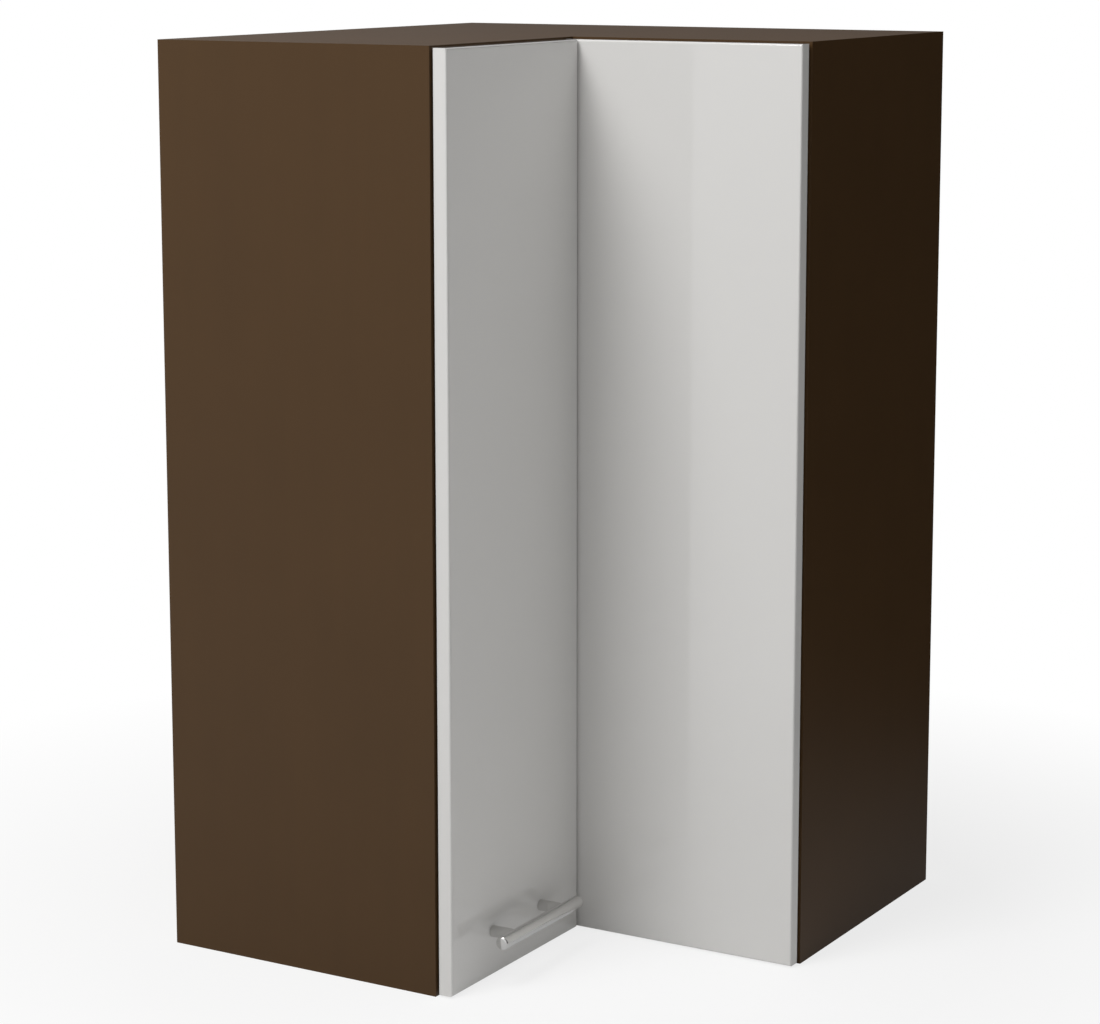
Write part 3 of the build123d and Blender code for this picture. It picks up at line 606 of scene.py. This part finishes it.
material, wire = new_finish("clear soft plastic")
haze = wire.noise(haze_scale)
close_finish(wire, Base_Color=haze.mix(bumper_dark, bumper_pale),
             Roughness=bumper_roughness + haze * haze_roughness,
             Transmission_Weight=clearness, IOR=plastic_bending)
settle(join_as("domed_bumpers", bumpers), material, "door_bumpers", "free_leaf")


# The floor is plain and pale: white to the eye farther off, and next to the cabinet it carries the
# cabinet's soft shadow. Gloss sees it white in front of the cabinet and darker behind, a painted
# shade in the floor's glow.

floor_size, floor_grey = 60.0, (0.85, 0.85, 0.85)
shadow_reach, shadow_fade = 1.1, 1.6  # how far out the shadow is seen, and how fast it ends
shadow_share = 0.22  # how much of the floor's look is real light, close to the cabinet
gloss_share = 0.3  # the same, as the cabinet's gloss sees it
front_side = (-0.60, -0.80, 0.0)  # the bright side of the studio
floor_fall = 0.45  # how much of its brightness the floor loses in a metre away from that side


def ray_kinds(wire):
    """Rays from the eye or through glass, and rays off gloss, each as 1 or 0."""
    eye = wire.node("LightPath", {}, {}, out="Is Camera Ray")
    glass = wire.node("LightPath", {}, {}, out="Is Transmission Ray")
    gloss = wire.node("LightPath", {}, {}, out="Is Glossy Ray")
    return wire.math("MAXIMUM", eye, glass), gloss


def brightness_round(wire, place, fall):
    """1 on the bright side of the studio, falling to 0 on the other; fall is per unit of place."""
    sockets = {0: place, 1: front_side}
    toward = wire.node("VectorMath", {"operation": "DOT_PRODUCT"}, sockets, out="Value")
    return wire.node("Clamp", {}, {"Value": toward * fall + 0.5})


bpy.ops.object.select_all(action="DESELECT")
bpy.ops.mesh.primitive_plane_add(size=floor_size, location=(0, 0, cad_box[0].z))
floor = bpy.context.object
floor.name = "floor"
material, wire = new_finish("pale floor")
place = wire.place()
distance = wire.node("VectorMath", {"operation": "LENGTH"}, {0: place}, out="Value")
near = wire.node("Clamp", {}, {"Value": (shadow_reach - distance) * shadow_fade})
eye, gloss = ray_kinds(wire)
# painted shade: for gloss the floor's glow darkens away from the studio's bright side
gloss_painted_shade = 1 - gloss * (1 - brightness_round(wire, place, floor_fall))
lit = wire.node("BsdfDiffuse", {}, {"Color": floor_grey})
grey = wire.node("CombineColor", {}, {0: gloss_painted_shade, 1: gloss_painted_shade, 2: gloss_painted_shade})
even = wire.node("Emission", {}, {"Color": grey})
to_eye = eye * (1 - near * shadow_share)
to_gloss = gloss * (1 - near * gloss_share)
even_share = wire.math("MAXIMUM", to_eye, to_gloss)
mixed = wire.node("MixShader", {}, {0: even_share, 1: lit, 2: even})
wire.node("OutputMaterial", {}, {"Surface": mixed})
floor.data.materials.append(material)


# The light is one soft box, overhead and in front, and an even dim surround. The eye and clear
# plastic see that surround white, and gloss sees it bright on the front side and dark at the back.

box_width, box_length, box_power = 1.1, 2.4, 70.0
box_place, lit_point = (-0.5, -1.8, 3.0), Vector((0, 0, 0.45))
fill_light = 0.31  # how strongly the surround lights matt surfaces
surround_fall = 0.6  # how much of its brightness gloss sees it lose away from the front side

lamp = bpy.data.lights.new("overhead box", "AREA")
lamp.shape, lamp.energy = "RECTANGLE", box_power
lamp.size, lamp.size_y = box_width, box_length
soft_box = bpy.data.objects.new("overhead box", lamp)
soft_box.location = box_place
aim = lit_point - soft_box.location
soft_box.rotation_euler = aim.to_track_quat("-Z", "Y").to_euler()
soft_box.visible_camera = False
bpy.context.scene.collection.objects.link(soft_box)

world = bpy.data.worlds.new("surround")
bpy.context.scene.world = world
world.use_nodes = True
world.node_tree.nodes.clear()
wire = Wire(world.node_tree)
eye, gloss = ray_kinds(wire)
looking = wire.node("TexCoord", {}, {}, out="Generated")
glow = gloss * brightness_round(wire, looking, surround_fall) + (1 - gloss) * fill_light
strength = wire.math("MAXIMUM", eye, glow)
seen = wire.node("Background", {}, {"Color": (1.0, 1.0, 1.0), "Strength": strength})
wire.node("OutputWorld", {}, {"Surface": seen})


# The camera stands in front and to the right, a little higher than the cabinet's top, and as far
# off as a long lens needs. The lens is shifted, to take in more of what is below.

image_width, image_height = 1100, 1024
focal_pixels = 3014.9
middle_row = 424.0  # the row of the picture that the lens looks at squarely
camera_place = (1.59877, -2.74315, 1.06683)
camera_turn = (80.5815, 0.034, 30.4875)  # in degrees
view_depth = 100.0

lens = bpy.data.cameras.new("camera")
lens.sensor_width = 36.0
lens.lens = focal_pixels / image_width * lens.sensor_width
lens.shift_y = (middle_row - image_height / 2) / image_width
lens.clip_end = view_depth
camera = bpy.data.objects.new("camera", lens)
camera.location = camera_place
camera.rotation_euler = [math.radians(turn) for turn in camera_turn]
bpy.context.scene.collection.objects.link(camera)
bpy.context.scene.camera = camera
bpy.context.scene.view_settings.view_transform = "Standard"
